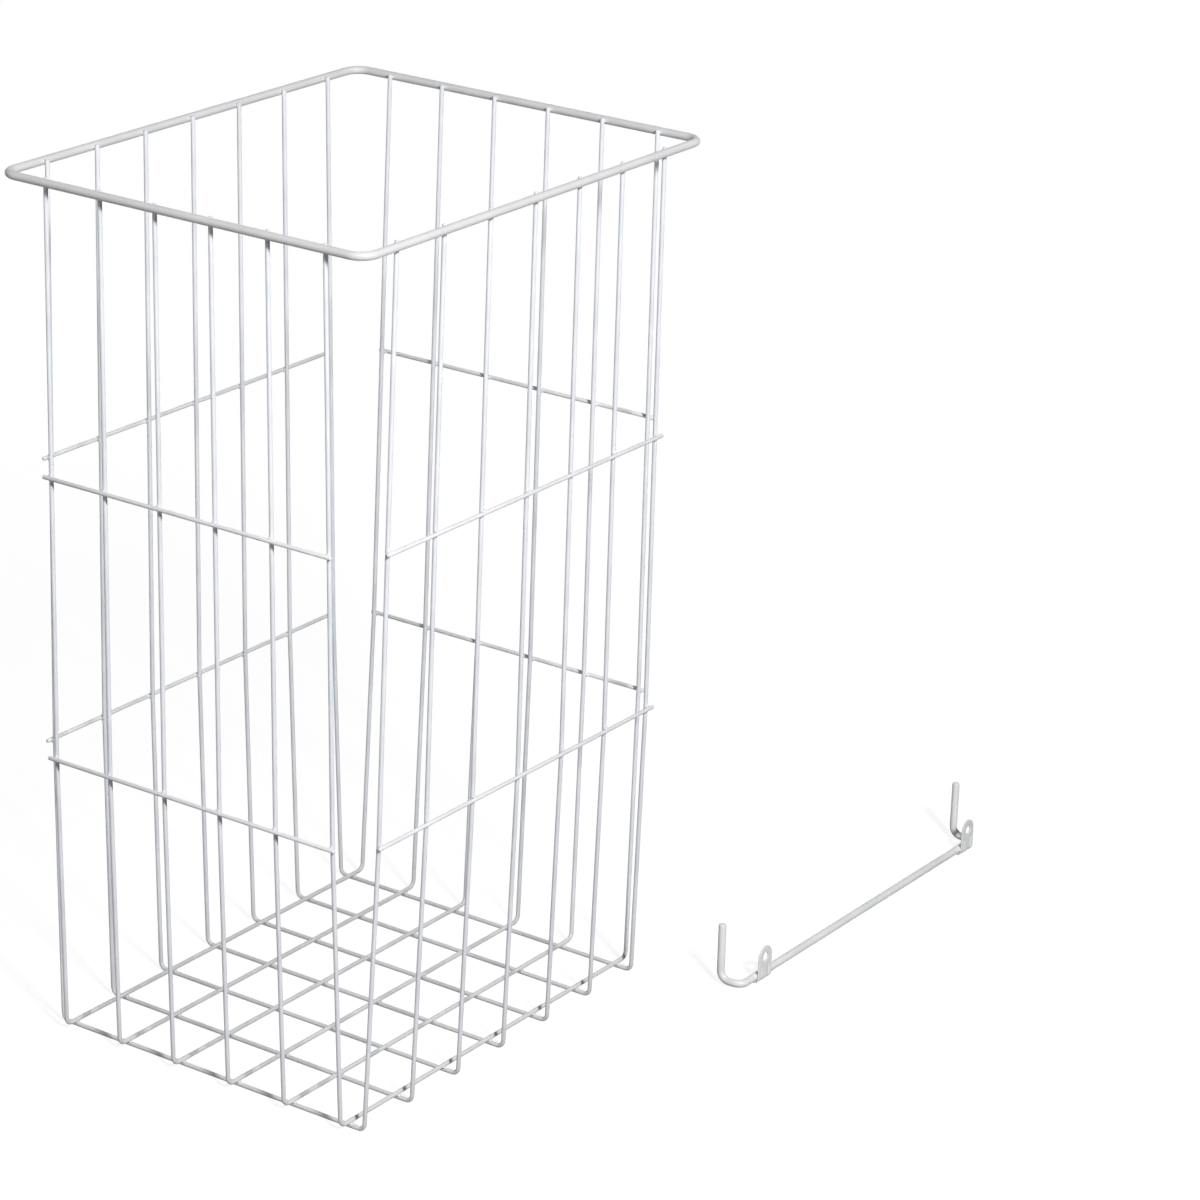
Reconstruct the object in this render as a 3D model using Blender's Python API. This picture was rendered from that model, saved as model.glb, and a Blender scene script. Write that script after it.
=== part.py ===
"""A tapered wire laundry basket, and the loose bar with two screw clips that hangs it on a cabinet door.

Metres, +Z up. The origin is on the floor under the middle of the basket. X runs across the basket and Y
along it; the bar stands on the same floor, to the +X and +Y side, with its hooks towards the basket.
"""

import math

import bmesh
import bpy
from mathutils import Matrix, Vector

# Basket, outside sizes
RIM_WIDTH = 0.2560
RIM_LENGTH = 0.3180
HEIGHT = 0.5234
BASE_WIDTH = 0.2280
BASE_LENGTH = 0.2836
KNEE_OUT = 0.0028  # each leg stands this far out of its straight line at a slight knee, by the lower hoop

# Coated wires, finished diameters
RIM_WIRE = 0.0048
BASKET_WIRE = 0.0026
HOOP_WIRE = 0.0024
BAR_WIRE = 0.0048

END_ROUND = 0.5  # the coating rounds a wire's cut end over this share of its radius

# Bends, radius at the middle of the wire
RIM_CORNER = 0.0100
FLOOR_BEND = 0.0045
BAR_BEND = 0.0060

# Upright wires: how many, and how far the outermost ones stay from the open corner, top and bottom
LENGTHWISE_COUNT = 6
CROSSWISE_COUNT = 7
LENGTHWISE_TOP_GAP = 0.0246
LENGTHWISE_BASE_GAP = 0.0101
CROSSWISE_TOP_GAP = 0.0288
CROSSWISE_BASE_GAP = 0.0086
TIP_DEPTH = 0.0005  # the wires' cut ends lie this far under the top of the rim

# Hoops: the levels split the legs into equal bays, and each end passes the last upright
HOOP_LEVELS = ("lower", "upper")
HOOP_END = 0.0025

# Hanging bar: its hooks stand inside the rim's straight side, clear of the rounded corners
HOOK_REACH = 0.0150
HOOK_HEIGHT = 0.0370
HOOK_CORNER_CLEAR = 0.0086
BAR_SIDE_GAP = 0.0346  # from the rim's side to the hooks, where the bar stands on the floor
BAR_AHEAD = 0.2900  # from the middle of the basket to the middle of the bar, along Y

# Screw clips, bent from one strip of sheet
SHEET = 0.0010
CLIP_WIDTH = 0.0140
SCREW_HOLE = 0.0056
SCREW_RISE = 0.0127  # from the rod's middle to the middle of the screw hole and of the round top
ROLL_ANGLE = math.radians(180)
ROLL_CLEARANCE = 0.0003
NEAR_CLIP_GAP = 0.0080  # from the bend at each end of the rod to the clip's edge
FAR_CLIP_GAP = 0.0004
GROOVE_SPACING = 0.0084
GROOVE_DEPTH = 0.0005
GROOVE_RADIUS = 0.0009
GROOVE_HOLE_GAP = 0.0022

# Welded wires are kept this far apart, so that each stays a solid of its own
WELD_GAP = 0.0003

# Fineness of the solids
WIRE_SIDES = 12
END_STEPS = 2
BEND_STEPS = 5
BEND_SHARE = 0.48  # the most of a straight run that a bend at its end may take up
ROLL_STEPS = 14
ARC_STEPS = 12
MERGE = 0.000001  # a curve's caps lie this close to its wall before they are joined
SHARP = math.radians(40)  # an edge of the clip that turns by more is a sharp one
FLAT = math.cos(math.pi / WIRE_SIDES)  # half the width across a tube's flats, for a radius of one


def clear_scene():
    for item in list(bpy.data.objects):
        bpy.data.objects.remove(item, do_unlink=True)


def new_collection(name):
    collection = bpy.data.collections.new(name)
    bpy.context.scene.collection.children.link(collection)
    return collection


def coating(name, colour, roughness):
    material = bpy.data.materials.new(name)
    material.use_nodes = True
    shader = material.node_tree.nodes["Principled BSDF"]
    shader.inputs["Base Color"].default_value = (*colour, 1.0)
    shader.inputs["Roughness"].default_value = roughness
    shader.inputs["Metallic"].default_value = 0.0
    material.diffuse_color = (*colour, 1.0)
    return material


def rounded(corners, radius, closed=False):
    """The corner points, with an arc in place of each corner that the wire bends round."""
    points = []
    for i, corner in enumerate(corners):
        if not closed and i in (0, len(corners) - 1):
            points.append(corner)
            continue
        back = corners[i - 1] - corner
        ahead = corners[(i + 1) % len(corners)] - corner
        half = back.angle(ahead) / 2
        room = BEND_SHARE * min(back.length, ahead.length)
        reach = min(radius / math.tan(half), room)
        inward = (back.normalized() + ahead.normalized()).normalized()
        centre = corner + inward * reach / math.cos(half)
        start = corner + back.normalized() * reach - centre
        end = corner + ahead.normalized() * reach - centre
        for step in range(BEND_STEPS + 1):
            turn = Matrix.Rotation(start.angle(end) * step / BEND_STEPS, 3, start.cross(end))
            points.append(centre + turn @ start)
    return points


def cut_end(tip, inner, radius):
    """The rings of a wire's rounded end, from the tip inwards: where each one is and how wide."""
    inward = (inner - tip).normalized()
    rings = []
    for step in range(END_STEPS + 1):
        angle = math.pi / 2 * step / END_STEPS
        depth = END_ROUND * radius * (1 - math.cos(angle))
        rings.append((tip + inward * depth, 1 - END_ROUND * (1 - math.sin(angle))))
    return rings


def wire(name, points, diameter, material, collection, closed=False):
    """A round wire along the points, turned so that a flat of its outline faces straight down."""
    rings = [(place, 1.0) for place in points]
    if not closed:
        first = cut_end(points[0], points[1], diameter / 2)
        last = cut_end(points[-1], points[-2], diameter / 2)
        rings = first + rings[1:-1] + last[::-1]
    curve = bpy.data.curves.new(name, "CURVE")
    curve.dimensions = "3D"
    curve.bevel_depth = diameter / 2
    curve.bevel_resolution = WIRE_SIDES // 2 - 2
    curve.use_fill_caps = not closed
    spline = curve.splines.new("POLY")
    spline.points.add(len(rings) - 1)
    for point, (place, width) in zip(spline.points, rings):
        point.co = (*place, 1.0)
        point.radius = width
        point.tilt = math.pi / WIRE_SIDES
    spline.use_cyclic_u = closed
    if material:
        curve.materials.append(material)
    item = bpy.data.objects.new(name, curve)
    collection.objects.link(item)
    return item


def as_mesh(item):
    """The curve object made a closed mesh object of the same name and place."""
    name = item.name
    bpy.context.view_layer.update()
    evaluated = item.evaluated_get(bpy.context.evaluated_depsgraph_get())
    mesh = bpy.data.meshes.new_from_object(evaluated)
    shape = bmesh.new()
    shape.from_mesh(mesh)
    bmesh.ops.remove_doubles(shape, verts=shape.verts, dist=MERGE)
    bmesh.ops.recalc_face_normals(shape, faces=shape.faces)
    shape.to_mesh(mesh)
    shape.free()
    solid = bpy.data.objects.new(name, mesh)
    solid.matrix_world = item.matrix_world.copy()
    item.users_collection[0].objects.link(solid)
    bpy.data.objects.remove(item, do_unlink=True)
    solid.name = name
    mesh.name = name
    return solid


# Heights and half widths that several pieces share
RIM_HEIGHT = HEIGHT - RIM_WIRE / 2
TIP_HEIGHT = HEIGHT - TIP_DEPTH
CROSSWISE_FLOOR = BASKET_WIRE / 2 * FLAT
LEG_START = CROSSWISE_FLOOR + FLOOR_BEND
LENGTHWISE_FLOOR = CROSSWISE_FLOOR + BASKET_WIRE + WELD_GAP
INSIDE_RIM = RIM_WIRE + BASKET_WIRE / 2 + WELD_GAP  # from the rim's outer side to an upright's middle
HOOP_BAY = (RIM_HEIGHT - LEG_START) / (len(HOOP_LEVELS) + 1)
KNEE_HEIGHT = LEG_START + HOOP_BAY


def face_half(outside_top, outside_base, height):
    """How far a face's uprights stand from the middle of the basket, at a height over the floor."""
    top = outside_top / 2 - INSIDE_RIM
    base = (outside_base - BASKET_WIRE) / 2
    straight = base + (top - base) * height / RIM_HEIGHT
    if height < KNEE_HEIGHT:
        return straight + KNEE_OUT * height / KNEE_HEIGHT
    return straight + KNEE_OUT * (RIM_HEIGHT - height) / (RIM_HEIGHT - KNEE_HEIGHT)


def half_width(height):
    return face_half(RIM_WIDTH, BASE_WIDTH, height)


def half_length(height):
    return face_half(RIM_LENGTH, BASE_LENGTH, height)


def spread(count, half_face, top_gap, base_gap, height):
    """Where the uprights of one face stand along it, at a height over the floor."""
    top = half_face(RIM_HEIGHT) - top_gap
    base = half_face(0.0) - base_gap
    outermost = base + (top - base) * height / RIM_HEIGHT
    return [outermost * (2 * i / (count - 1) - 1) for i in range(count)]


def lengthwise_places(height):
    return spread(LENGTHWISE_COUNT, half_width, LENGTHWISE_TOP_GAP, LENGTHWISE_BASE_GAP, height)


def crosswise_places(height):
    return spread(CROSSWISE_COUNT, half_length, CROSSWISE_TOP_GAP, CROSSWISE_BASE_GAP, height)


def make_rim(material, collection):
    x = (RIM_WIDTH - RIM_WIRE) / 2
    y = (RIM_LENGTH - RIM_WIRE) / 2
    corners = [Vector((sx * x, sy * y, RIM_HEIGHT)) for sx, sy in ((-1, -1), (1, -1), (1, 1), (-1, 1))]
    wire("rim", rounded(corners, RIM_CORNER, closed=True), RIM_WIRE, material, collection, closed=True)


def u_bend(down, up):
    """The points of a U, from tip to tip: the corners on the floor are rounded, the slight knees are plain."""
    return [down[0], *rounded(down[1:] + up[:-1], FLOOR_BEND), up[-1]]


def make_lengthwise_wires(material, collection):
    """Wires bent to a U that go down one end of the basket, along its floor and up the other end."""
    heights = (TIP_HEIGHT, KNEE_HEIGHT, LENGTHWISE_FLOOR)
    for number in range(LENGTHWISE_COUNT):
        front = [Vector((lengthwise_places(z)[number], -half_length(z), z)) for z in heights]
        back = [Vector((lengthwise_places(z)[number], half_length(z), z)) for z in reversed(heights)]
        wire(f"lengthwise_wire_{number + 1}", u_bend(front, back), BASKET_WIRE, material, collection)


def make_crosswise_wires(material, collection):
    """Wires bent to a U across the basket, under the lengthwise ones, that the basket stands on."""
    heights = (TIP_HEIGHT, KNEE_HEIGHT, CROSSWISE_FLOOR)
    for number in range(CROSSWISE_COUNT):
        left = [Vector((-half_width(z), crosswise_places(z)[number], z)) for z in heights]
        right = [Vector((half_width(z), crosswise_places(z)[number], z)) for z in reversed(heights)]
        wire(f"crosswise_wire_{number + 1}", u_bend(left, right), BASKET_WIRE, material, collection)


def make_hoops(material, collection):
    """Straight wires welded across the outside of each face's uprights, at each level."""
    outward = (BASKET_WIRE + HOOP_WIRE) / 2 + WELD_GAP
    past = BASKET_WIRE / 2 + HOOP_END
    for number, level in enumerate(HOOP_LEVELS, 1):
        height = LEG_START + number * HOOP_BAY
        end_x = lengthwise_places(height)[-1] + past
        end_y = crosswise_places(height)[-1] + past
        side_x = half_width(height) + outward
        side_y = half_length(height) + outward
        faces = {
            "front": (Vector((-end_x, -side_y, height)), Vector((end_x, -side_y, height))),
            "right": (Vector((side_x, -end_y, height)), Vector((side_x, end_y, height))),
            "back": (Vector((-end_x, side_y, height)), Vector((end_x, side_y, height))),
            "left": (Vector((-side_x, -end_y, height)), Vector((-side_x, end_y, height))),
        }
        for side, ends in faces.items():
            wire(f"{level}_hoop_{side}", ends, HOOP_WIRE, material, collection)


# The bar is drawn round its own origin, in the middle of the rod
HOOK_SPAN = RIM_LENGTH / 2 - RIM_WIRE / 2 - RIM_CORNER - HOOK_CORNER_CLEAR
ROLL_INSIDE = BAR_WIRE / 2 + ROLL_CLEARANCE
ROLL_OUTSIDE = ROLL_INSIDE + SHEET
BAR_PLACE = Vector((RIM_WIDTH / 2 + BAR_SIDE_GAP + BAR_WIRE / 2 + HOOK_REACH, BAR_AHEAD, ROLL_OUTSIDE))
GROOVE_TOP = SCREW_RISE - SCREW_HOLE / 2 - GROOVE_HOLE_GAP


def make_bar(material, collection):
    """One rod, bent at each end to a short arm and then up to a hook."""
    corners = [
        Vector((-HOOK_REACH, -HOOK_SPAN, HOOK_HEIGHT)),
        Vector((-HOOK_REACH, -HOOK_SPAN, 0.0)),
        Vector((0.0, -HOOK_SPAN, 0.0)),
        Vector((0.0, HOOK_SPAN, 0.0)),
        Vector((-HOOK_REACH, HOOK_SPAN, 0.0)),
        Vector((-HOOK_REACH, HOOK_SPAN, HOOK_HEIGHT)),
    ]
    bar = wire("hanger_bar", rounded(corners, BAR_BEND), BAR_WIRE, material, collection)
    bar.location = BAR_PLACE


def arc(angle):
    return [angle * i / ARC_STEPS for i in range(ARC_STEPS + 1)]


def clip_plate(name, material, collection):
    """The clip's flat plate, standing on the rod's height, with its round top and its screw hole."""
    curve = bpy.data.curves.new(name, "CURVE")
    curve.dimensions = "2D"
    curve.fill_mode = "BOTH"
    curve.extrude = SHEET / 2
    half = CLIP_WIDTH / 2
    top = [(half * math.cos(a), SCREW_RISE + half * math.sin(a)) for a in arc(math.pi)]
    radius = SCREW_HOLE / 2
    hole = [(radius * math.cos(a), SCREW_RISE + radius * math.sin(a)) for a in arc(2 * math.pi)[:-1]]
    for outline in ([(-half, 0.0), (half, 0.0), *top], hole):
        spline = curve.splines.new("POLY")
        spline.points.add(len(outline) - 1)
        for point, (across, up) in zip(spline.points, outline):
            point.co = (across, up, 0.0, 1.0)
        spline.use_cyclic_u = True
    curve.materials.append(material)
    plate = bpy.data.objects.new(name, curve)
    collection.objects.link(plate)
    return as_mesh(plate)


def roll_round_rod(mesh):
    """Stands the plate beside the rod and rolls its lower edge on under the rod and up the other side."""
    shape = bmesh.new()
    shape.from_mesh(mesh)
    stand = Matrix(((0, 0, 1), (1, 0, 0), (0, 1, 0)))
    bmesh.ops.transform(shape, matrix=stand.to_4x4(), verts=shape.verts)
    beside = Vector((ROLL_INSIDE + SHEET / 2, 0.0, 0.0))
    bmesh.ops.translate(shape, vec=beside, verts=shape.verts)
    bmesh.ops.recalc_face_normals(shape, faces=shape.faces)
    shape.faces.ensure_lookup_table()
    edge = min(shape.faces, key=lambda face: face.calc_center_median().z)
    turn = Matrix.Rotation(ROLL_ANGLE / ROLL_STEPS, 3, "Y")
    for _ in range(ROLL_STEPS):
        edge = bmesh.ops.extrude_discrete_faces(shape, faces=[edge])["faces"][0]
        bmesh.ops.rotate(shape, matrix=turn, verts=edge.verts)
    bmesh.ops.recalc_face_normals(shape, faces=shape.faces)
    shape.to_mesh(mesh)
    shape.free()


def groove_cutter(name, across, collection):
    """A bent tube that cuts one groove, down the plate and on round the roll to just before its edge."""
    middle = ROLL_OUTSIDE + GROOVE_RADIUS - GROOVE_DEPTH
    path = [Vector((middle, across, GROOVE_TOP))]
    for step in range(ROLL_STEPS):
        angle = ROLL_ANGLE * step / ROLL_STEPS
        path.append(Vector((middle * math.cos(angle), across, -middle * math.sin(angle))))
    cutter = as_mesh(wire(name, path, 2 * GROOVE_RADIUS, None, collection))
    cutter.hide_render = True
    cutter.display_type = "WIRE"
    return cutter


def make_clip(name, along, material, collection, cutters):
    """A screw clip: a plate for the door, rolled at its foot round the rod, with two pressed grooves."""
    place = BAR_PLACE + Vector((0.0, along, 0.0))
    clip = clip_plate(name, material, collection)
    roll_round_rod(clip.data)
    clip.location = place
    for number, side in enumerate((-1, 1), 1):
        cutter = groove_cutter(f"{name}_groove_{number}", side * GROOVE_SPACING / 2, cutters)
        cutter.location = place
        cut = clip.modifiers.new(f"groove {number}", "BOOLEAN")
        cut.operation = "DIFFERENCE"
        cut.object = cutter
    clip.data.shade_smooth()
    clip.data.set_sharp_from_angle(angle=SHARP)


def main():
    clear_scene()
    parts = new_collection("wire_laundry_basket")
    cutters = new_collection("cutters")
    white = (0.86, 0.87, 0.88)
    make_rim(coating("rim coating", (0.82, 0.83, 0.83), 0.35), parts)
    make_lengthwise_wires(coating("lengthwise wire coating", white, 0.38), parts)
    make_crosswise_wires(coating("crosswise wire coating", white, 0.38), parts)
    make_hoops(coating("hoop coating", white, 0.38), parts)
    make_bar(coating("bar coating", (0.78, 0.79, 0.79), 0.35), parts)
    clip_paint = coating("clip enamel", (0.76, 0.77, 0.77), 0.40)
    last_place = HOOK_SPAN - BAR_BEND - CLIP_WIDTH / 2
    make_clip("clip_near", NEAR_CLIP_GAP - last_place, clip_paint, parts, cutters)
    make_clip("clip_far", last_place - FAR_CLIP_GAP, clip_paint, parts, cutters)


main()
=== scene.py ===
"""Looks of the wire laundry basket and its hanging bar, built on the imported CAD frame. Metres, +Z up."""

import math

import bmesh
import bpy
from mathutils import Matrix, Quaternion, Vector


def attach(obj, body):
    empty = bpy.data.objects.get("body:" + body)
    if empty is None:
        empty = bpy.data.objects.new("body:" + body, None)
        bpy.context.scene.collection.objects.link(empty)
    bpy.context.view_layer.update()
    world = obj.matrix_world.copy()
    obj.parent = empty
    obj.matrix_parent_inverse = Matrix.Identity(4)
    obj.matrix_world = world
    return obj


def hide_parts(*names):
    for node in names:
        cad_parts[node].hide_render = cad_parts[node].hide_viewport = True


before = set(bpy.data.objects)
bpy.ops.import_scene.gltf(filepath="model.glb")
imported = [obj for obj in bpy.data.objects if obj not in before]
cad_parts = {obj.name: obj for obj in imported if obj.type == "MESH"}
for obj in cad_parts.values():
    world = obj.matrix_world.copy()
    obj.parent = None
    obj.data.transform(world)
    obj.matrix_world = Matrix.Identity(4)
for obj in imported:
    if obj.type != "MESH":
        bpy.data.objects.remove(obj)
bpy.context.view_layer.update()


# Crosswise wires: seven lengths of drawn steel wire, each bent to a U on a former. They go down one long side
# of the basket, under its floor and up the other, and the basket stands on them. The finish is a white powder
# coat, baked on after welding.
RIM_WIDTH = 0.2560
RIM_LENGTH = 0.3180
HEIGHT = 0.5234
BASE_WIDTH = 0.2280
BASE_LENGTH = 0.2836
KNEE_OUT = 0.0028
RIM_WIRE = 0.0048
BASKET_WIRE = 0.0026
WELD_GAP = 0.0003
FLOOR_BEND = 0.0045
TIP_DEPTH = 0.0005
HOOP_BAYS = 3
SOLID_SIDES = 12
CROSSWISE_COUNT = 7
CROSSWISE_TOP_GAP = 0.0288
CROSSWISE_BASE_GAP = 0.0086

RIM_HEIGHT = HEIGHT - RIM_WIRE / 2
TIP_HEIGHT = HEIGHT - TIP_DEPTH
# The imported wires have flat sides, and the basket stands on the flats
CROSSWISE_FLOOR = BASKET_WIRE / 2 * math.cos(math.pi / SOLID_SIDES)
LEG_START = CROSSWISE_FLOOR + FLOOR_BEND
HOOP_BAY = (RIM_HEIGHT - LEG_START) / HOOP_BAYS
KNEE_HEIGHT = LEG_START + HOOP_BAY
INSIDE_RIM = RIM_WIRE + BASKET_WIRE / 2 + WELD_GAP

# How finely the round wires, their bends and their domed ends are made
SIDES = 24
BEND_STEPS = 10
DOME_STEPS = 4
DOME_DEPTH = 0.55
MERGE = 0.000001


def linear(code):
    """An sRGB hex colour as linear light, with an alpha of one."""
    parts = [int(code[i:i + 2], 16) / 255 for i in (1, 3, 5)]
    return (*[c / 12.92 if c <= 0.04045 else ((c + 0.055) / 1.055) ** 2.4 for c in parts], 1.0)


def add(tree, kind, sockets=(), **settings):
    """Adds a node with its settings, and gives each named input its value or the output that feeds it."""
    node = tree.nodes.new(kind)
    for setting, value in settings.items():
        setattr(node, setting, value)
    for socket, value in dict(sockets).items():
        if isinstance(value, bpy.types.NodeSocket):
            tree.links.new(value, node.inputs[socket])
        else:
            node.inputs[socket].default_value = value
    return node


# The powder coat's own sizes: how its thickness drifts, its orange peel, the dust nibs in it, how far its
# gloss varies, and between which heights the painted shade on the floor wires fades out
COAT_DRIFT = 0.025
PEEL_WAVE = 0.0015
PEEL_DEPTH = 0.000018
NIB_SPACING = 0.011
NIB_RADIUS = 0.000264
NIB_HEIGHT = 0.00003
GLOSSIER = 0.04
DULLER = 0.05
PAINTED_SHADE_FULL_HEIGHT = 0.006
PAINTED_SHADE_END_HEIGHT = 0.030


def powder_coat(name, colour, thin, rough, peel, floor=None):
    """White polyester powder coat on steel: an even, slightly cool white with a soft gloss. It flows a little
    before it sets, so it has a fine orange peel, and it looks greyer where it lies thin. A floor colour, if
    given, is painted shade: the wires turn greyer and more neutral towards the floor."""
    material = bpy.data.materials.new(name)
    material.use_nodes = True
    tree = material.node_tree
    place = add(tree, "ShaderNodeTexCoord").outputs["Object"]
    # The coat's thickness drifts slowly along the wire
    drift = add(tree, "ShaderNodeTexNoise", {"Vector": place, "Scale": 1 / COAT_DRIFT, "Detail": 3.0})
    thick = add(
        tree, "ShaderNodeMapRange",
        {"Value": drift.outputs["Fac"], "From Min": 0.35, "From Max": 0.65},
    )
    # A Mix node's colour inputs are its 6 and 7, and its colour output is its 2
    tint = add(
        tree, "ShaderNodeMix",
        {0: thick.outputs["Result"], 6: linear(thin), 7: linear(colour)},
        data_type="RGBA",
    )
    coat = tint.outputs[2]
    if floor:
        # Painted shade: near the floor the coat fades to a greyer, more neutral colour
        height = add(tree, "ShaderNodeSeparateXYZ", {"Vector": place}).outputs["Z"]
        painted_shade_fade = add(
            tree, "ShaderNodeMapRange",
            {"Value": height, "From Min": PAINTED_SHADE_FULL_HEIGHT, "From Max": PAINTED_SHADE_END_HEIGHT},
        )
        coat = add(
            tree, "ShaderNodeMix",
            {0: painted_shade_fade.outputs["Result"], 6: linear(floor), 7: coat},
            data_type="RGBA",
        ).outputs[2]
    # Orange peel: the coat sets in shallow waves, drawn deeper than real ones so that they show
    waves = add(tree, "ShaderNodeTexNoise", {"Vector": place, "Scale": 1 / PEEL_WAVE, "Detail": 1.0})
    orange_peel = add(
        tree, "ShaderNodeBump",
        {"Height": waves.outputs["Fac"], "Distance": PEEL_DEPTH, "Strength": peel},
    )
    # A dust nib lies under the coat every centimetre or so, half a millimetre across
    dust = add(tree, "ShaderNodeTexVoronoi", {"Vector": place, "Scale": 1 / NIB_SPACING})
    nib = add(
        tree, "ShaderNodeMapRange",
        {"Value": dust.outputs["Distance"], "From Min": NIB_RADIUS / NIB_SPACING, "From Max": 0.0,
         "To Min": 0.0, "To Max": 1.0},
        interpolation_type="SMOOTHSTEP",
    )
    relief = add(
        tree, "ShaderNodeBump",
        {"Height": nib.outputs["Result"], "Distance": NIB_HEIGHT, "Normal": orange_peel.outputs["Normal"]},
    )
    gloss = add(
        tree, "ShaderNodeMapRange",
        {"Value": waves.outputs["Fac"], "From Min": 0.3, "From Max": 0.7,
         "To Min": rough - GLOSSIER, "To Max": rough + DULLER},
    )
    # Polyester's index, with its shine held back: the photograph's wires show hardly a highlight
    shader = tree.nodes["Principled BSDF"]
    shader.inputs["IOR"].default_value = 1.50
    shader.inputs["Specular IOR Level"].default_value = 0.20
    tree.links.new(coat, shader.inputs["Base Color"])
    tree.links.new(gloss.outputs["Result"], shader.inputs["Roughness"])
    tree.links.new(relief.outputs["Normal"], shader.inputs["Normal"])
    return material


def edges_of(geometry):
    return [item for item in geometry if isinstance(item, bmesh.types.BMEdge)]


def verts_of(geometry):
    return [item for item in geometry if isinstance(item, bmesh.types.BMVert)]


def draw_on(shape, ring, run, scale=1.0):
    """Draws the wire's open ring of edges on by a straight run, and returns the new ring."""
    drawn = bmesh.ops.extrude_edge_only(shape, edges=ring)["geom"]
    verts = verts_of(drawn)
    bmesh.ops.translate(shape, vec=run, verts=verts)
    if scale != 1.0:
        middle = sum((vert.co for vert in verts), Vector()) / len(verts)
        bmesh.ops.scale(shape, vec=(scale,) * 3, space=Matrix.Translation(-middle), verts=verts)
    ends = set(verts)
    return [edge for edge in edges_of(drawn) if ends.issuperset(edge.verts)]


def dome(shape, ring, outward, radius):
    """Closes a cut end with the low dome that its coating forms."""
    width, height = 1.0, 0.0
    for step in range(1, DOME_STEPS):
        angle = math.pi / 2 * step / DOME_STEPS
        rise = DOME_DEPTH * radius * (math.sin(angle) - height)
        ring = draw_on(shape, ring, outward * rise, math.cos(angle) / width)
        width, height = math.cos(angle), math.sin(angle)
    cap = bmesh.ops.contextual_create(shape, geom=ring)["faces"]
    top = bmesh.ops.poke(shape, faces=cap)["verts"]
    bmesh.ops.translate(shape, vec=outward * DOME_DEPTH * radius * (1 - height), verts=top)


def drawn_wire(corners, diameter, bend=0.0, closed=False):
    """A round wire: its section is drawn along each straight run and spun round each corner's bend."""
    stops = list(corners)
    if closed:
        middle = (corners[-1] + corners[0]) / 2
        stops = [middle, *corners, middle]
    shape = bmesh.new()
    ways = [(b - a).normalized() for a, b in zip(stops, stops[1:])]
    side = ways[0].cross(ways[1]) if len(ways) > 1 else ways[0].cross(Vector((0, 0, 1)))
    side.normalize()
    depth = 0.0 if closed else DOME_DEPTH * diameter / 2
    place = stops[0] + ways[0] * depth
    stand = Matrix((side, ways[0].cross(side), ways[0])).transposed().to_4x4()
    flat_down = Matrix.Rotation(math.pi / SIDES, 4, "Z")
    bmesh.ops.create_circle(
        shape, segments=SIDES, radius=diameter / 2,
        matrix=Matrix.Translation(place) @ stand @ flat_down,
    )
    first = shape.edges[:]
    ring = first
    for corner, way, ahead in zip(stops[1:], ways, ways[1:]):
        turn = way.angle(ahead)
        reach = bend * math.tan(turn / 2)
        ring = draw_on(shape, ring, corner - way * reach - place)
        axis = way.cross(ahead).normalized()
        spun = bmesh.ops.spin(
            shape, geom=ring, cent=corner - way * reach + axis.cross(way) * bend,
            axis=axis, angle=turn, steps=math.ceil(BEND_STEPS * turn / math.radians(90)),
        )["geom_last"]
        ring = edges_of(spun)
        place = corner + ahead * reach
    ring = draw_on(shape, ring, stops[-1] - ways[-1] * depth - place)
    if not closed:
        dome(shape, first, -ways[0], diameter / 2)
        dome(shape, ring, ways[-1], diameter / 2)
    return shape


def as_piece(name, shape, material, body, slot, *nodes):
    """Closes the mesh, makes it an object of the scene, and hands it to the frame."""
    bmesh.ops.remove_doubles(shape, verts=shape.verts, dist=MERGE)
    bmesh.ops.recalc_face_normals(shape, faces=shape.faces)
    mesh = bpy.data.meshes.new(name)
    shape.to_mesh(mesh)
    shape.free()
    mesh.shade_smooth()
    mesh.materials.append(material)
    piece = bpy.data.objects.new(name, mesh)
    bpy.context.scene.collection.objects.link(piece)
    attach(piece, body)
    if nodes:
        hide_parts(*nodes)
    return piece


def side_half(outside_top, outside_base, height):
    """How far a side's uprights stand from the basket's middle. They lean in more below a slight knee."""
    top = outside_top / 2 - INSIDE_RIM
    base = (outside_base - BASKET_WIRE) / 2
    straight = base + (top - base) * height / RIM_HEIGHT
    if height < KNEE_HEIGHT:
        return straight + KNEE_OUT * height / KNEE_HEIGHT
    return straight + KNEE_OUT * (RIM_HEIGHT - height) / (RIM_HEIGHT - KNEE_HEIGHT)


def half_width(height):
    return side_half(RIM_WIDTH, BASE_WIDTH, height)


def half_length(height):
    return side_half(RIM_LENGTH, BASE_LENGTH, height)


def spread(count, half_side, top_gap, base_gap, height):
    """Where a side's uprights stand along it, at a height over the floor."""
    top = half_side(RIM_HEIGHT) - top_gap
    base = half_side(0.0) - base_gap
    outermost = base + (top - base) * height / RIM_HEIGHT
    return [outermost * (2 * i / (count - 1) - 1) for i in range(count)]


def crosswise_places(height):
    return spread(CROSSWISE_COUNT, half_length, CROSSWISE_TOP_GAP, CROSSWISE_BASE_GAP, height)


# The floor colour here is painted shade, greyer and more neutral on the floor wires
wire_coat = powder_coat("powder-coated drawn wire", "#F1F4F8", "#E6E9EF", 0.36, 0.8, floor="#E4E4E5")

heights = (TIP_HEIGHT, KNEE_HEIGHT, CROSSWISE_FLOOR)
for number in range(CROSSWISE_COUNT):
    left = [Vector((-half_width(z), crosswise_places(z)[number], z)) for z in heights]
    right = [Vector((half_width(z), crosswise_places(z)[number], z)) for z in reversed(heights)]
    shape = drawn_wire(left + right, BASKET_WIRE, FLOOR_BEND)
    name = f"crosswise_u_wire_{number + 1}"
    as_piece(name, shape, wire_coat, "basket", "basket_wire", f"crosswise_wire_{number + 1}")


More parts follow.
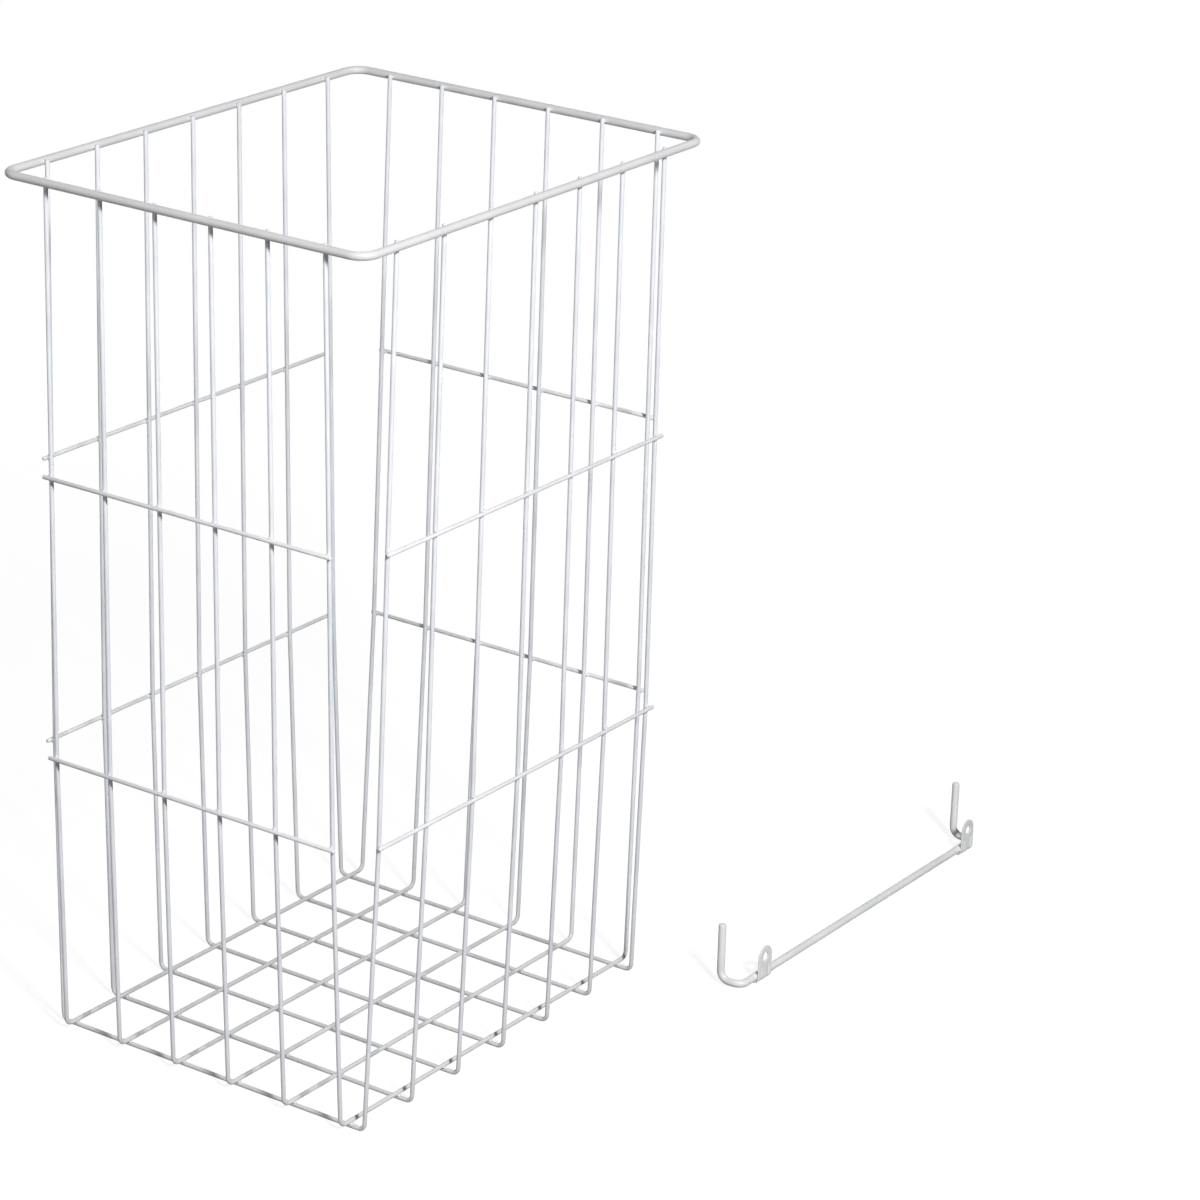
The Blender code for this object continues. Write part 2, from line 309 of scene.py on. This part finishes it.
# Lengthwise wires: six more of the same wire, bent to a longer U. They go down the front, along the floor on
# top of the crosswise wires and up the back.
LENGTHWISE_COUNT = 6
LENGTHWISE_TOP_GAP = 0.0246
LENGTHWISE_BASE_GAP = 0.0101
LENGTHWISE_FLOOR = CROSSWISE_FLOOR + BASKET_WIRE + WELD_GAP


def lengthwise_places(height):
    return spread(LENGTHWISE_COUNT, half_width, LENGTHWISE_TOP_GAP, LENGTHWISE_BASE_GAP, height)


heights = (TIP_HEIGHT, KNEE_HEIGHT, LENGTHWISE_FLOOR)
for number in range(LENGTHWISE_COUNT):
    front = [Vector((lengthwise_places(z)[number], -half_length(z), z)) for z in heights]
    back = [Vector((lengthwise_places(z)[number], half_length(z), z)) for z in reversed(heights)]
    shape = drawn_wire(front + back, BASKET_WIRE, FLOOR_BEND)
    name = f"lengthwise_u_wire_{number + 1}"
    as_piece(name, shape, wire_coat, "basket", "basket_wire", f"lengthwise_wire_{number + 1}")


# Floor welds: each crossing of the floor is pressed together hot. A low collar of steel comes out round the
# spot, and the powder coat gathers on it.
WELD_RADIUS = 0.00175
WELD_HALF = 0.00075
WELD_SEGMENTS = 12
WELD_RINGS = 6


def weld(shape, place, outward, radius=WELD_RADIUS):
    """A flattened bead between two crossing wires, its flat sides towards them."""
    turn = outward.to_track_quat("Z", "Y").to_matrix().to_4x4()
    size = Matrix.Diagonal((radius, radius, WELD_HALF, 1.0))
    bmesh.ops.create_uvsphere(
        shape, u_segments=WELD_SEGMENTS, v_segments=WELD_RINGS, radius=1.0,
        matrix=Matrix.Translation(place) @ turn @ size,
    )


weld_coat = powder_coat("powder coat over spot welds", "#ECECEF", "#DDDDE2", 0.40, 1.0)

shape = bmesh.new()
between = CROSSWISE_FLOOR + (BASKET_WIRE + WELD_GAP) / 2
for x in lengthwise_places(LENGTHWISE_FLOOR):
    for y in crosswise_places(CROSSWISE_FLOOR):
        weld(shape, Vector((x, y, between)), Vector((0, 0, 1)))
as_piece("floor_welds", shape, weld_coat, "basket", "basket_wire")


# Hoops: straight lengths of a slightly thinner wire, laid across the outside of each side's uprights at two
# heights and spot-welded to each of them. Their cut ends stand a little past the last upright.
HOOP_WIRE = 0.0024
HOOP_END = 0.0025

hoop_coat = powder_coat("powder-coated hoop wire", "#F7F7F8", "#EEEEF1", 0.36, 0.8)

outward = (BASKET_WIRE + HOOP_WIRE) / 2 + WELD_GAP
weld_out = (BASKET_WIRE + WELD_GAP) / 2
welds = bmesh.new()
for number, level in enumerate(("lower", "upper"), 1):
    height = LEG_START + number * HOOP_BAY
    along_x = lengthwise_places(height)
    along_y = crosswise_places(height)
    end_x = along_x[-1] + BASKET_WIRE / 2 + HOOP_END
    end_y = along_y[-1] + BASKET_WIRE / 2 + HOOP_END
    for side, facing in (("front", -1), ("back", 1)):
        y = facing * (half_length(height) + outward)
        shape = drawn_wire([Vector((-end_x, y, height)), Vector((end_x, y, height))], HOOP_WIRE)
        name = f"{level}_hoop_wire_{side}"
        as_piece(name, shape, hoop_coat, "basket", "hoop_wire", f"{level}_hoop_{side}")
        for x in along_x:
            weld(welds, Vector((x, facing * (half_length(height) + weld_out), height)), Vector((0, 1, 0)))
    for side, facing in (("left", -1), ("right", 1)):
        x = facing * (half_width(height) + outward)
        shape = drawn_wire([Vector((x, -end_y, height)), Vector((x, end_y, height))], HOOP_WIRE)
        name = f"{level}_hoop_wire_{side}"
        as_piece(name, shape, hoop_coat, "basket", "hoop_wire", f"{level}_hoop_{side}")
        for y in along_y:
            weld(welds, Vector((facing * (half_width(height) + weld_out), y, height)), Vector((1, 0, 0)))
as_piece("hoop_welds", welds, weld_coat, "basket", "hoop_wire")


# Rim: one thick wire bent to a rectangle with small round corners, its ends butt-welded and ground flush.
# The uprights are spot-welded to its inside, with their tips just under its top. These welds are smaller, and
# each lies hidden behind its upright.
RIM_CORNER = 0.0100
RIM_WELD = 0.0012

rim_coat = powder_coat("powder-coated rim wire", "#E7E7E8", "#E0E0E1", 0.33, 0.8)

x = (RIM_WIDTH - RIM_WIRE) / 2
y = (RIM_LENGTH - RIM_WIRE) / 2
corners = [Vector((sx * x, sy * y, RIM_HEIGHT)) for sx, sy in ((-1, -1), (1, -1), (1, 1), (-1, 1))]
shape = drawn_wire(corners, RIM_WIRE, RIM_CORNER, closed=True)
as_piece("rim_ring", shape, rim_coat, "basket", "rim_wire", "rim")

welds = bmesh.new()
for facing in (-1, 1):
    for x in lengthwise_places(RIM_HEIGHT):
        place = Vector((x, facing * (half_length(RIM_HEIGHT) + weld_out), RIM_HEIGHT))
        weld(welds, place, Vector((0, 1, 0)), RIM_WELD)
    for y in crosswise_places(RIM_HEIGHT):
        place = Vector((facing * (half_width(RIM_HEIGHT) + weld_out), y, RIM_HEIGHT))
        weld(welds, place, Vector((1, 0, 0)), RIM_WELD)
as_piece("rim_welds", welds, weld_coat, "basket", "rim_wire")


# Hanging bar: a rod of the rim's gauge, bent at each end to a short arm and then up to a hook, which goes
# inside the basket's rim in use. It is coated like the basket, and lies loose on the floor beside it.
BAR_WIRE = 0.0048
BAR_BEND = 0.0060
HOOK_REACH = 0.0150
HOOK_HEIGHT = 0.0370
HOOK_CORNER_CLEAR = 0.0086
BAR_SIDE_GAP = 0.0346
BAR_AHEAD = 0.2900
SHEET = 0.0010
ROLL_CLEARANCE = 0.0003

HOOK_SPAN = RIM_LENGTH / 2 - RIM_WIRE / 2 - RIM_CORNER - HOOK_CORNER_CLEAR
ROLL_INSIDE = BAR_WIRE / 2 + ROLL_CLEARANCE
ROLL_OUTSIDE = ROLL_INSIDE + SHEET
BAR_PLACE = Vector((RIM_WIDTH / 2 + BAR_SIDE_GAP + BAR_WIRE / 2 + HOOK_REACH, BAR_AHEAD, ROLL_OUTSIDE))

bar_coat = powder_coat("powder-coated steel rod", "#F6F7F7", "#ECEEEE", 0.30, 0.8)

corners = [
    Vector((-HOOK_REACH, -HOOK_SPAN, HOOK_HEIGHT)),
    Vector((-HOOK_REACH, -HOOK_SPAN, 0.0)),
    Vector((0.0, -HOOK_SPAN, 0.0)),
    Vector((0.0, HOOK_SPAN, 0.0)),
    Vector((-HOOK_REACH, HOOK_SPAN, 0.0)),
    Vector((-HOOK_REACH, HOOK_SPAN, HOOK_HEIGHT)),
]
shape = drawn_wire([BAR_PLACE + corner for corner in corners], BAR_WIRE, BAR_BEND)
as_piece("bent_hanging_bar", shape, bar_coat, "bar", "bar_wire", "hanger_bar")


# Screw clips: each is blanked from steel sheet with a round top and one screw hole, creased twice below the
# hole to stiffen it, and rolled at its foot round the rod, on which it turns. The finish is a white enamel.
CLIP_WIDTH = 0.0140
SCREW_HOLE = 0.0056
SCREW_RISE = 0.0127
ROLL_ANGLE = math.radians(180)
ROLL_STEPS = 28
NEAR_CLIP_GAP = 0.0080
FAR_CLIP_GAP = 0.0004
CREASE_TOP = 0.0077
CREASE_PLACE = 0.0042
CREASE_HALF = 0.0008
CREASE_DEPTH = 0.0006
CREASE_FADE = 0.0012
ROLL_FADE = math.radians(15)
MIDDLE_DIP = 0.0003
PLATE_ROWS = 8
SIDE_ROWS = 4
TOP_STEPS = 24
MIDDLE_COLUMN = 0.0012
SIDE_COLUMN = 0.0060
SHEET_EDGE = 0.00022
EASED_ABOVE = math.radians(60)
SHARP_ABOVE = math.radians(50)

# Half of the sheet's columns, from its middle to its edge, closer where the crease goes
COLUMNS = [
    0.0, MIDDLE_COLUMN, 2 * MIDDLE_COLUMN,
    *[CREASE_PLACE + CREASE_HALF * k / 3 for k in range(-3, 4)],
    SIDE_COLUMN, CLIP_WIDTH / 2,
]


def crease(shape):
    """Presses the two creases into the outer face, and lets the face between them round over to them."""
    for vert in shape.verts:
        x, y, z = vert.co
        if z < 0 or x < 0:
            out = math.hypot(x, z)
            angle = math.atan2(-z, x) % (2 * math.pi)
            fade = min(1.0, (ROLL_ANGLE - angle) / ROLL_FADE)
        else:
            out = x
            fade = min(1.0, max(0.0, (CREASE_TOP - z) / CREASE_FADE))
        if out < ROLL_OUTSIDE - MERGE or fade <= 0:
            continue
        off = abs(abs(y) - CREASE_PLACE)
        dip = CREASE_DEPTH * max(0.0, math.cos(math.pi / 2 * min(1.0, off / CREASE_HALF)))
        if abs(y) < CREASE_PLACE:
            dip = max(dip, MIDDLE_DIP * (y / CREASE_PLACE) ** 2)
        dip *= fade
        if z < 0 or x < 0:
            bmesh.ops.scale(shape, vec=((out - dip) / out, 1.0, (out - dip) / out), verts=[vert])
        else:
            bmesh.ops.translate(shape, vec=(-dip, 0.0, 0.0), verts=[vert])


def screw_clip(along):
    """The clip's sheet: its outer face is laid flat, rolled, given its thickness, and eased at its edges."""
    shape = bmesh.new()
    across = [-y for y in COLUMNS[:0:-1]] + COLUMNS
    row = [shape.verts.new((ROLL_OUTSIDE, y, CREASE_TOP)) for y in across]
    line = [shape.edges.new(pair) for pair in zip(row, row[1:])]
    for _ in range(PLATE_ROWS):
        line = draw_on(shape, line, Vector((0.0, 0.0, -CREASE_TOP / PLATE_ROWS)))
    bmesh.ops.spin(
        shape, geom=line, cent=(0, 0, 0), axis=(0, 1, 0), angle=ROLL_ANGLE, steps=ROLL_STEPS,
    )
    # The outline of the plate's upper part: up one side, round the top and down the other side
    corner = row[0]
    rise = (SCREW_RISE - CREASE_TOP) / SIDE_ROWS
    for way in (1, -1):
        for _ in range(SIDE_ROWS):
            corner = bmesh.ops.extrude_vert_indiv(shape, verts=[corner])["verts"][0]
            bmesh.ops.translate(shape, vec=(0.0, 0.0, way * rise), verts=[corner])
        if way == 1:
            drawn = bmesh.ops.spin(
                shape, geom=[corner], cent=(ROLL_OUTSIDE, 0, SCREW_RISE), axis=(-1, 0, 0),
                angle=math.pi, steps=TOP_STEPS,
            )["geom_last"]
            corner = verts_of(drawn)[0]
    bmesh.ops.remove_doubles(shape, verts=shape.verts, dist=MERGE)
    outline = [
        edge for edge in shape.edges
        if len(edge.link_faces) < 2 and min(vert.co.z for vert in edge.verts) > CREASE_TOP - MERGE
    ]
    hole = bmesh.ops.create_circle(
        shape, segments=len(outline), radius=SCREW_HOLE / 2,
        matrix=Matrix.Translation((ROLL_OUTSIDE, 0, SCREW_RISE)) @ Matrix.Rotation(math.pi / 2, 4, "Y"),
    )["verts"]
    around = set(hole)
    outline += [edge for edge in shape.edges if around.issuperset(edge.verts)]
    bmesh.ops.bridge_loops(shape, edges=outline)
    bmesh.ops.recalc_face_normals(shape, faces=shape.faces)
    bmesh.ops.solidify(shape, geom=shape.faces[:] + shape.edges[:] + shape.verts[:], thickness=SHEET)
    sharp = [edge for edge in shape.edges if edge.is_manifold and edge.calc_face_angle() > EASED_ABOVE]
    bmesh.ops.bevel(
        shape, geom=sharp, offset=SHEET_EDGE, offset_type="OFFSET", segments=3, profile=0.5,
        affect="EDGES", clamp_overlap=True, material=-1,
    )
    crease(shape)
    bmesh.ops.translate(shape, vec=BAR_PLACE + Vector((0.0, along, 0.0)), verts=shape.verts)
    return shape


enamel = powder_coat("enamelled steel sheet", "#F9FAFA", "#F1F2F2", 0.34, 1.0)

last_place = HOOK_SPAN - BAR_BEND - CLIP_WIDTH / 2
for side, along in (("near", NEAR_CLIP_GAP - last_place), ("far", last_place - FAR_CLIP_GAP)):
    piece = as_piece(
        f"{side}_screw_clip", screw_clip(along), enamel, f"{side}_clip", "clip_sheet", f"clip_{side}"
    )
    piece.data.set_sharp_from_angle(angle=SHARP_ABOVE)


# Studio: a plain white floor that runs out of sight, seen as white but for the basket's own soft shadow. The
# key soft box stands at the camera's right, a weak fill at its left, and a low one behind the basket.
FLOOR_SIZE = 8.0
FLOOR_DROP = 0.00006
FLOOR_TONE = (0.26, 0.26, 0.26, 1.0)
FLOOR_GLOW = 0.87
UNSEEN_TONE = (0.16, 0.16, 0.16, 1.0)
SHADOW_FADE = 0.5
SHADOW_END = 1.2
WHITE = (1.0, 1.0, 1.0, 1.0)
AMBIENT_TINT = (0.96, 0.97, 1.0, 1.0)
AMBIENT = 0.035


def seen(tree):
    """One for a ray that shows the background: seen by the camera, in a reflection or through glass."""
    path = add(tree, "ShaderNodeLightPath").outputs
    mirrored = add(
        tree, "ShaderNodeMath",
        {0: path["Is Glossy Ray"], 1: path["Is Transmission Ray"]}, operation="MAXIMUM",
    )
    return add(
        tree, "ShaderNodeMath",
        {0: path["Is Camera Ray"], 1: mirrored.outputs[0]}, operation="MAXIMUM",
    ).outputs[0]


paper = bpy.data.materials.new("white studio paper")
paper.use_nodes = True
tree = paper.node_tree
tree.nodes.clear()
shaded = add(tree, "ShaderNodeBsdfDiffuse", {"Color": FLOOR_TONE})
glow = add(tree, "ShaderNodeEmission", {"Color": WHITE, "Strength": FLOOR_GLOW})
near = add(tree, "ShaderNodeAddShader", {0: shaded.outputs[0], 1: glow.outputs[0]})
plain = add(tree, "ShaderNodeEmission", {"Color": WHITE, "Strength": 1.0})
spot = add(tree, "ShaderNodeTexCoord").outputs["Object"]
away = add(tree, "ShaderNodeVectorMath", {0: spot}, operation="LENGTH")
fade = add(
    tree, "ShaderNodeMapRange",
    {"Value": away.outputs["Value"], "From Min": SHADOW_FADE, "From Max": SHADOW_END},
    interpolation_type="SMOOTHSTEP",
)
shown = add(tree, "ShaderNodeMixShader", {0: fade.outputs[0], 1: near.outputs[0], 2: plain.outputs[0]})
unseen = add(tree, "ShaderNodeBsdfDiffuse", {"Color": UNSEEN_TONE})
both = add(tree, "ShaderNodeMixShader", {0: seen(tree), 1: unseen.outputs[0], 2: shown.outputs[0]})
add(tree, "ShaderNodeOutputMaterial", {"Surface": both.outputs[0]})

shape = bmesh.new()
bmesh.ops.create_grid(shape, x_segments=1, y_segments=1, size=FLOOR_SIZE / 2)
bmesh.ops.translate(shape, vec=(0.0, 0.0, -FLOOR_DROP), verts=shape.verts)
mesh = bpy.data.meshes.new("studio_floor")
shape.to_mesh(mesh)
shape.free()
mesh.materials.append(paper)
floor = bpy.data.objects.new("studio_floor", mesh)
bpy.context.scene.collection.objects.link(floor)

world = bpy.data.worlds.new("white studio")
world.use_nodes = True
bpy.context.scene.world = world
tree = world.node_tree
tree.nodes.clear()
ambient = add(tree, "ShaderNodeBackground", {"Color": AMBIENT_TINT, "Strength": AMBIENT})
backdrop = add(tree, "ShaderNodeBackground", {"Color": WHITE, "Strength": 1.0})
both = add(tree, "ShaderNodeMixShader", {0: seen(tree), 1: ambient.outputs[0], 2: backdrop.outputs[0]})
add(tree, "ShaderNodeOutputWorld", {"Surface": both.outputs[0]})

LAMPS_AIM = Vector((0.06, 0.10, 0.26))
LAMP_DISTANCE = 2.6


def soft_box(name, azimuth, elevation, size, power):
    """A square soft box that faces the middle of the set. Azimuth 0 is the front, 90 the right."""
    lamp = bpy.data.lights.new(name, "AREA")
    lamp.shape = "SQUARE"
    lamp.size = size
    lamp.energy = power
    item = bpy.data.objects.new(name, lamp)
    a, e = math.radians(azimuth), math.radians(elevation)
    towards = Vector((math.sin(a) * math.cos(e), -math.cos(a) * math.cos(e), math.sin(e)))
    item.location = LAMPS_AIM + towards * LAMP_DISTANCE
    item.rotation_euler = (-towards).to_track_quat("-Z", "Y").to_euler()
    bpy.context.scene.collection.objects.link(item)
    return item


soft_box("key soft box", azimuth=59, elevation=34, size=0.35, power=63.0)
soft_box("fill soft box", azimuth=-8, elevation=22, size=1.1, power=7.0)
# The coat doesn't mirror the back lamp, which would leave a bright line along the wires' upper edges
back_box = soft_box("back soft box", azimuth=215, elevation=6, size=1.0, power=22.0)
back_box.visible_glossy = False

# The camera stands where the photograph's does, above the rim and looking down, and rolled slightly with it
CAMERA_ROLL = 0.0312

camera_data = bpy.data.cameras.new("camera")
camera_data.sensor_width = 36.0
camera_data.lens = 129.04
camera = bpy.data.objects.new("camera", camera_data)
eye = Vector((1.43730, -1.83950, 1.15383))
target = Vector((0.11950, 0.07633, 0.26189))
level = (target - eye).to_track_quat("-Z", "Y")
camera.location = eye
camera.rotation_mode = "QUATERNION"
camera.rotation_quaternion = level @ Quaternion((0.0, 0.0, 1.0), CAMERA_ROLL)
bpy.context.scene.collection.objects.link(camera)
bpy.context.scene.camera = camera
bpy.context.scene.view_settings.view_transform = "Standard"
